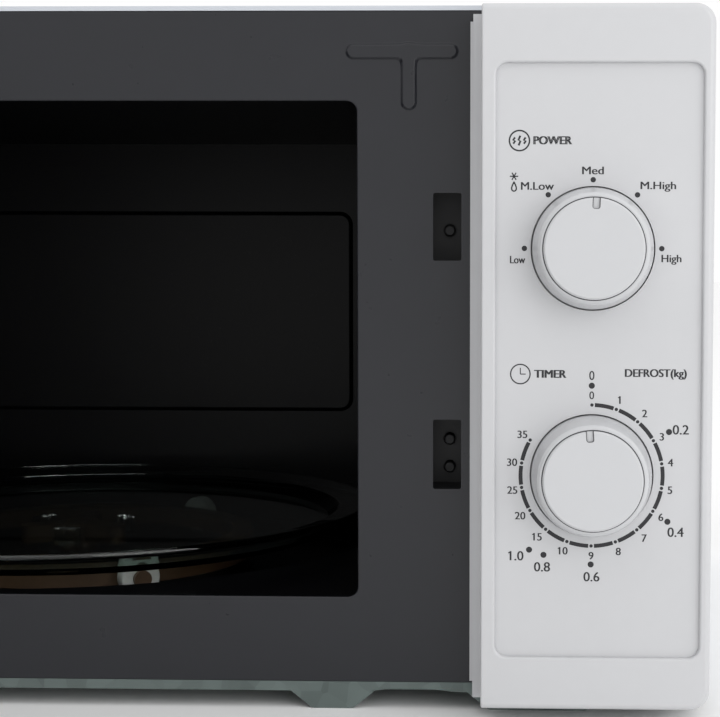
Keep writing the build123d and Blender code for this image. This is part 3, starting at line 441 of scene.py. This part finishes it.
def make_finishes(colours):
    """One material for each material slot of the oven, and one for the printed ink."""
    clear = {"Transmission_Weight": 1.0, "IOR": 1.5}
    FINISHES.update({
        "front_enamel": shader("Front enamel", colours.front_enamel, 0.3, shade=0.07, grain=160,
                               bump_grain=1100, Specular_IOR_Level=0.4),
        "cavity_enamel": shader("Cavity enamel", colours.cavity_enamel, 0.3, shade=0.35, grain=900,
                                bump_grain=900, Specular_IOR_Level=0.12),
        "cabinet_paint": shader("Cabinet paint", colours.cabinet, 0.3, shade=0.02, grain=120,
                                bump_grain=700, Coat_Weight=0.4, Coat_Roughness=0.12),
        "galvanised_steel": shader("Galvanised steel", colours.base, 0.42, "cells", shade=0.22,
                                   rough_spread=0.12, grain=140, Metallic=0.75),
        "bright_steel": shader("Bright steel", (0.55, 0.55, 0.56), 0.28, stretch=(1, 1, 12),
                               grain=260, Metallic=1.0),
        "panel_plastic": shader("Panel plastic", colours.panel, 0.34, shade=0.012, grain=220,
                                rough_spread=0.04, bump=0.12, bump_grain=2600, Coat_Weight=0.12),
        "door_plastic": shader("Door plastic", colours.panel, 0.34, shade=0.012, grain=220,
                               rough_spread=0.04, bump=0.12, bump_grain=2600, Coat_Weight=0.12),
        "knob_plastic": shader("Knob plastic", colours.knob, 0.3, shade=0.01, grain=260,
                               rough_spread=0.04, bump=0.08, bump_grain=2200, Coat_Weight=0.15),
        "turntable_glass": shader("Turntable glass", colours.glass, 0.03, shade=0.03,
                                  rough_spread=0.02, grain=40, bump=0.05, bump_grain=90, **clear),
        "window_glass": shader("Window glass", (0.05, 0.05, 0.055), 0.04, shade=0.05,
                               rough_spread=0.02, grain=30, bump=0.002, bump_grain=60, **clear),
        "film": shader("Inner film", (0.85, 0.86, 0.86), 0.12, shade=0.03, grain=60,
                       bump=0.1, bump_grain=200, **clear),
        "white_plastic": shader("White plastic", (0.80, 0.80, 0.77), 0.45, shade=0.02),
        "brown_plastic": shader("Brown plastic", (0.10, 0.055, 0.028), 0.5, shade=0.15),
        "black_plastic": shader("Black plastic", (0.018, 0.018, 0.02), 0.5, shade=0.15),
        "copper_winding": shader("Copper winding", (0.42, 0.17, 0.08), 0.35, "bands", shade=0.45,
                                 stretch=(0, 0, 1), grain=400, Metallic=0.8),
        "core_iron": shader("Core iron", (0.12, 0.115, 0.11), 0.55, "bands", shade=0.35,
                            stretch=(0, 1, 0), grain=320, Metallic=0.7),
        "aluminium": shader("Aluminium", (0.70, 0.71, 0.72), 0.35, stretch=(1, 14, 1), grain=200,
                            Metallic=1.0),
        "mica": shader("Mica", (0.42, 0.38, 0.30), 0.4, "cells", shade=0.25, grain=220),
        "lamp_glass": shader("Lamp glass", (0.95, 0.95, 0.92), 0.04, shade=0.02, grain=40, **clear),
        "board": shader("Board", (0.30, 0.19, 0.08), 0.5, shade=0.2, stretch=(1, 8, 1), grain=150),
        "ceramic": shader("Ceramic", (0.82, 0.80, 0.77), 0.3, shade=0.03, Coat_Weight=0.5),
        # Painted shade: dark colour of the lines that stand in for the shade round the knobs' raised
        # faces and in their pointer grooves
        "shadow_line": shader("Shadow line", (0.055, 0.055, 0.06), 0.6, shade=0.15, grain=900),
        "ink": shader("Ink", colours.ink, 0.55, shade=0.2, grain=900, bump_grain=2500),
    })


class OVEN_OT_finishes(bpy.types.Operator):
    """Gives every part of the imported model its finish"""

    bl_idname = "oven.finishes"
    bl_label = "Finishes"

    def execute(self, context):
        make_finishes(context.scene.oven_colours)
        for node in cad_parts.values():
            slot = node.material_slots[0]
            slot.material = FINISHES[slot.material.name.split(".")[0]]
        return {"FINISHED"}


class OVEN_OT_bead(bpy.types.Operator):
    """Stiffening bead pressed into the front plate above the opening"""

    bl_idname = "oven.bead"
    bl_label = "Stiffening bead"

    def execute(self, context):
        """The bead follows a T of two lines, flat on top and rounded down to the plate.

        The distances a and b to the two lines are joined by a smooth minimum,
        -k*log(exp(-a/k) + exp(-b/k)), which rounds the inner corners of the T. With t running from 0
        at the foot of the flank to 1 at its top, the height over the plate is H*t*t*(3 - 2*t). Faces
        outside the foot are dropped.
        """
        sizes = context.scene.oven_sizes
        foot, top = sizes.bead_width / 2, sizes.bead_width / 2 - sizes.bead_flank
        margin, blend, sunk, wall_thickness = 1.0 * MM, 0.8 * MM, 0.03 * MM, 0.3 * MM
        columns, rows = 330, 210
        x, z = np.meshgrid(
            np.linspace(BEAD_BAR[0] - foot - margin, BEAD_BAR[1] + foot + margin, columns),
            np.linspace(BEAD_STEM_END - foot - margin, BEAD_BAR_Z + foot + margin, rows))
        to_bar = np.hypot(x - np.clip(x, *BEAD_BAR), z - BEAD_BAR_Z)
        to_stem = np.hypot(x - BEAD_STEM_X, z - np.clip(z, BEAD_STEM_END, BEAD_BAR_Z))
        away = -blend * np.log(np.exp(-to_bar / blend) + np.exp(-to_stem / blend))
        rise = np.clip((foot - away) / (foot - top), 0, 1)
        height = sizes.bead_height * rise * rise * (3 - 2 * rise)
        points = np.stack([x, PLATE_FRONT + sunk - height, z], -1).reshape(-1, 3)
        faces = grid_faces(*x.shape)
        faces = faces[(height.reshape(-1)[faces] > 0).any(1)]
        used, faces = np.unique(faces, return_inverse=True)
        bead = add_piece("stiffener_bead", points[used], faces.reshape(-1, 4).tolist(),
                         FINISHES["front_enamel"], "cabinet", "front_enamel")
        wall = bead.modifiers.new("wall", "SOLIDIFY")
        wall.thickness = wall_thickness
        wall.offset = -1.0
        return {"FINISHED"}


class OVEN_OT_power_print(bpy.types.Operator):
    """Printed scale, icons and labels of the power knob"""

    bl_idname = "oven.power_print"
    bl_label = "Power scale"

    def execute(self, context):
        depth = ink_depth(context.scene.oven_sizes)
        shapes = [disc(printed(POWER_CENTRE, *spot), POWER_DOT, depth) for spot in POWER_DOTS]
        shapes += waves_badge(depth) + snowflake(depth) + water_drop(depth)
        for text, x, z, height, width, bold in POWER_LABELS:
            place = printed(POWER_CENTRE, x, z)
            shapes.append(lettering(text, place, depth, height * MM, bold * MM, width * MM))
        add_piece("power_print", *gathered(shapes), FINISHES["ink"], "cabinet", "black_plastic", False)
        return {"FINISHED"}


class OVEN_OT_timer_print(bpy.types.Operator):
    """Printed scale, icon and labels of the timer knob"""

    bl_idname = "oven.timer_print"
    bl_label = "Timer scale"

    def execute(self, context):
        sizes = context.scene.oven_sizes
        depth = ink_depth(sizes)
        radius = sizes.scale_radius / MM
        shapes = []
        for angle in range(0, RING_END + 1, RING_STEP):
            spot = radius * sin(radians(angle)), radius * cos(radians(angle))
            shapes.append(disc(printed(TIMER_CENTRE, *spot), RING_DOT, depth))
            if angle < RING_END:
                stretch = (angle + RING_GAP, angle + RING_STEP - RING_GAP)
                line = arc(TIMER_CENTRE, sizes.scale_radius, *stretch)
                shapes.append(ribbon(line, sizes.scale_line, depth))
        shapes += [disc(printed(TIMER_CENTRE, *spot), WEIGHT_DOT, depth) for spot in WEIGHT_DOTS]
        shapes += clock_face(depth)
        for text, x, z, height, width, bold in TIMER_LABELS:
            place = printed(TIMER_CENTRE, x, z)
            shapes.append(lettering(text, place, depth, height * MM, bold * MM, width * MM))
        for labels, height in ((MINUTES, MINUTE_HEIGHT), (WEIGHTS, WEIGHT_HEIGHT)):
            for text, x, z in labels:
                place = printed(TIMER_CENTRE, x, z)
                shapes.append(lettering(text, place, depth, height * MM, FIGURE_BOLD * MM))
        add_piece("timer_print", *gathered(shapes), FINISHES["ink"], "cabinet", "black_plastic", False)
        return {"FINISHED"}


class OVEN_OT_knob_lines(bpy.types.Operator):
    """Painted shade: dark lines round the raised face of each knob and round its pointer groove"""

    bl_idname = "oven.knob_lines"
    bl_label = "Knob lines"

    def execute(self, context):
        """The pointer line is half of a rounded rectangle, turned clockwise by the knob's angle."""
        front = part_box("power_knob")[0].y
        shoulder = front + 1.4 * MM
        groove_floor = front + 1.1 * MM
        rim, groove_end, half, corner = 17.6 * MM, 13.6 * MM, 1.25 * MM, 0.75 * MM
        turn = np.radians(np.linspace(0, 90, 8))
        right = np.stack([half - corner + corner * np.cos(turn),
                          groove_end + corner - corner * np.sin(turn)], 1)
        outline = np.concatenate([[[half, rim]], right, right[::-1] * [-1, 1], [[-half, rim]]])
        # Painted shade: the ring stands in for the shaded step round the raised face, and the pointer
        # line stands in for the shade inside its groove
        rim_shade_line, groove_shade_line = 0.4 * MM, 0.36 * MM
        rim_depth = (shoulder + 0.1 * MM, shoulder + 0.6 * MM)
        groove_depth = (groove_floor - 0.5 * MM, groove_floor + 0.01 * MM)
        for name, centre, body, turned in (
                ("power_knob_shade_lines", POWER_CENTRE, "power_control", POWER_TURN),
                ("timer_knob_shade_lines", TIMER_CENTRE, "timer_control", TIMER_TURN)):
            angle = radians(turned)
            spin = np.array([[cos(angle), -sin(angle)], [sin(angle), cos(angle)]])
            pointer = np.array(centre) + outline @ spin
            ring = circle(centre, rim, 120)
            shapes = [ribbon(ring, rim_shade_line, rim_depth, closed=True),
                      ribbon(pointer, groove_shade_line, groove_depth)]
            add_piece(name, *gathered(shapes), FINISHES["shadow_line"], body, "black_plastic", False)
        return {"FINISHED"}


def make_floor(stage):
    """One square at the height of the feet."""
    mesh = bpy.data.meshes.new("floor")
    reach = FLOOR_REACH
    mesh.from_pydata([(-reach, -reach, 0), (reach, -reach, 0), (reach, reach, 0), (-reach, reach, 0)],
                     [], [(0, 1, 2, 3)])
    mesh.materials.append(shader("Floor", stage.floor, 0.7, shade=0.01, grain=3, bump=0.02))
    floor = bpy.data.objects.new("floor", mesh)
    bpy.context.scene.collection.objects.link(floor)


def make_room(stage):
    """Even white light from all round."""
    world = bpy.data.worlds.new("room")
    world.use_nodes = True
    world.node_tree.nodes["Background"].inputs["Color"].default_value = (1, 1, 1, 1)
    world.node_tree.nodes["Background"].inputs["Strength"].default_value = stage.room
    bpy.context.scene.world = world


def make_light(name, place, size, power):
    """Square soft light turned towards the oven's front."""
    light = bpy.data.lights.new(name, "AREA")
    light.size = size
    light.energy = power
    lamp = bpy.data.objects.new(name, light)
    lamp.location = place
    lamp.rotation_euler = (LIGHT_AIM - Vector(place)).to_track_quat("-Z", "Y").to_euler()
    bpy.context.scene.collection.objects.link(lamp)


def make_camera(stage):
    """Camera whose axes follow from its yaw to the right, its pitch down and its roll."""
    camera = bpy.data.cameras.new("camera")
    camera.sensor_width = SENSOR_WIDTH
    camera.lens = stage.lens
    camera.shift_x, camera.shift_y = CAMERA_SHIFT
    yaw, pitch, roll = CAMERA_YAW, CAMERA_PITCH, CAMERA_ROLL
    ahead = Vector((sin(yaw) * cos(pitch), cos(yaw) * cos(pitch), -sin(pitch)))
    right = Vector((cos(yaw), -sin(yaw), 0))
    up = right.cross(ahead)
    level = right * cos(roll) + up * sin(roll)
    upright = up * cos(roll) - right * sin(roll)
    viewer = bpy.data.objects.new("camera", camera)
    turn = Matrix((level, upright, -ahead)).transposed().to_4x4()
    viewer.matrix_world = Matrix.Translation(CAMERA_PLACE) @ turn
    bpy.context.scene.collection.objects.link(viewer)
    bpy.context.scene.camera = viewer


class OVEN_OT_stage(bpy.types.Operator):
    """Plain pale floor, soft studio light and the camera"""

    bl_idname = "oven.stage"
    bl_label = "Floor, light and camera"

    def execute(self, context):
        stage = context.scene.oven_stage
        make_floor(stage)
        make_room(stage)
        make_light("key", KEY_PLACE, KEY_SIZE, stage.key_power)
        make_light("top", TOP_PLACE, TOP_SIZE, stage.top_power)
        make_camera(stage)
        context.scene.view_settings.view_transform = "Standard"
        return {"FINISHED"}


STEPS = ("finishes", "bead", "power_print", "timer_print", "knob_lines", "stage")


class OVEN_PT_panel(bpy.types.Panel):
    """Lists the sizes, the colours and the steps of the oven"""

    bl_idname = "OVEN_PT_panel"
    bl_label = "Microwave oven"
    bl_space_type = "VIEW_3D"
    bl_region_type = "UI"
    bl_category = "Oven"

    def draw(self, context):
        scene = context.scene
        for group in (scene.oven_colours, scene.oven_sizes, scene.oven_stage):
            box = self.layout.box()
            for name in group.bl_rna.properties.keys():
                if name not in ("rna_type", "name"):
                    box.prop(group, name)
        for step in STEPS:
            self.layout.operator(f"oven.{step}")


GROUPS = {"oven_colours": OvenColours, "oven_sizes": OvenSizes, "oven_stage": OvenStage}
CLASSES = (*GROUPS.values(), OVEN_OT_finishes, OVEN_OT_bead, OVEN_OT_power_print, OVEN_OT_timer_print,
           OVEN_OT_knob_lines, OVEN_OT_stage, OVEN_PT_panel)


def register():
    """Registers the classes and hangs the settings on the scene."""
    for kind in CLASSES:
        bpy.utils.register_class(kind)
    for name, group in GROUPS.items():
        setattr(bpy.types.Scene, name, PointerProperty(type=group))


def unregister():
    """Takes back what register did."""
    for name in GROUPS:
        delattr(bpy.types.Scene, name)
    for kind in reversed(CLASSES):
        bpy.utils.unregister_class(kind)


def main():
    """Runs every step in order."""
    register()
    for step in STEPS:
        getattr(bpy.ops.oven, step)()


if __name__ == "__main__":
    main()
